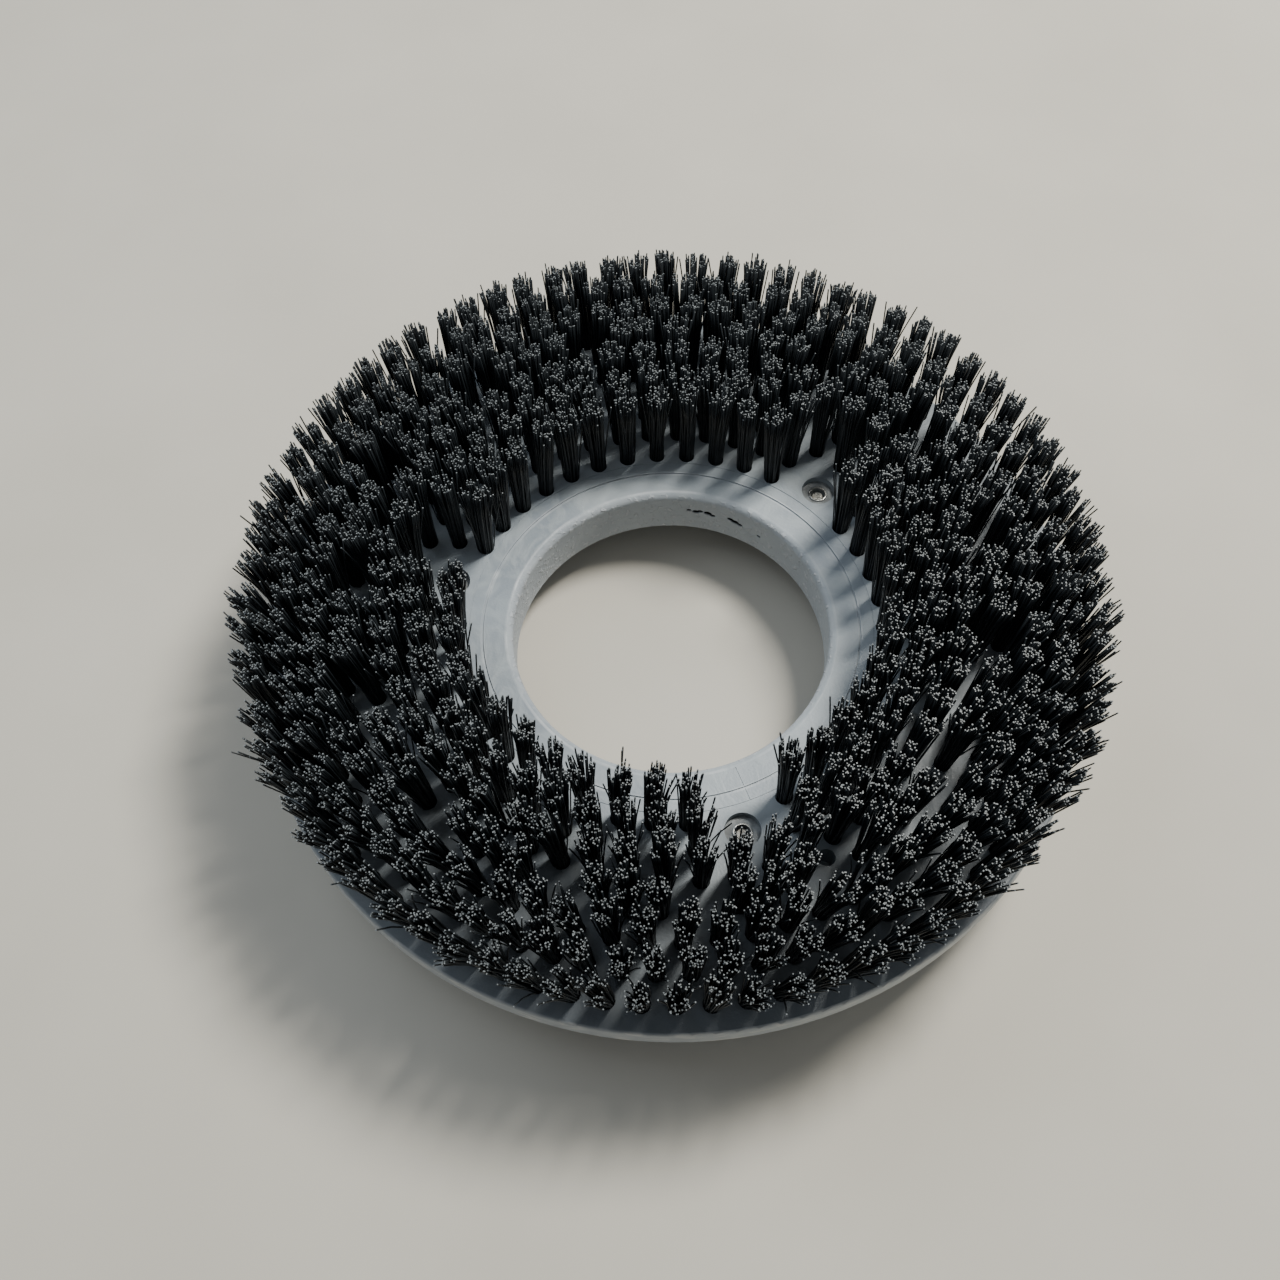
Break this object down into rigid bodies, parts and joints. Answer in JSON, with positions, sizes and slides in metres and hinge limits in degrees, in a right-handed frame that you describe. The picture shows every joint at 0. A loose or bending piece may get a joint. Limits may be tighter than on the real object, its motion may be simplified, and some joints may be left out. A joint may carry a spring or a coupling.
{
  "type": "rotary disc scrub brush",
  "caption": "Rotary disc scrub brush: a moulded ring block with seven rings of black bristle tufts and three drive lugs on its back.",
  "frame": {"origin": "on the brush's axis, in the plane of the drive lugs' tips that it stands on", "axes": "+Z along the axis from the lugs to the bristle tips; the first lug is 45 degrees from +X towards +Y"},
  "size_m": [0.3498, 0.3498, 0.083],
  "materials": {
    "block_plastic": "matt moulded",
    "bristle_filament": "satin",
    "anchor_wire": "drawn",
    "plated_steel": "zinc plated",
    "spring_steel": "plated"
  },
  "bodies": {
    "root": {"block": "block_plastic", "bristle_row_1": "bristle_filament", "bristle_row_2": "bristle_filament", "bristle_row_3": "bristle_filament", "bristle_row_4": "bristle_filament", "bristle_row_5": "bristle_filament", "bristle_row_6": "bristle_filament", "bristle_row_7": "bristle_filament", "anchor_row_1": "anchor_wire", "anchor_row_2": "anchor_wire", "anchor_row_3": "anchor_wire", "anchor_row_4": "anchor_wire", "anchor_row_5": "anchor_wire", "anchor_row_6": "anchor_wire", "anchor_row_7": "anchor_wire", "tee_nut_1": "plated_steel", "tee_nut_2": "plated_steel", "tee_nut_3": "plated_steel", "spring_washer_1": "spring_steel", "spring_washer_2": "spring_steel", "spring_washer_3": "spring_steel", "drive_lug_1": "plated_steel", "drive_lug_2": "plated_steel", "drive_lug_3": "plated_steel"}
  },
  "joints": []
}
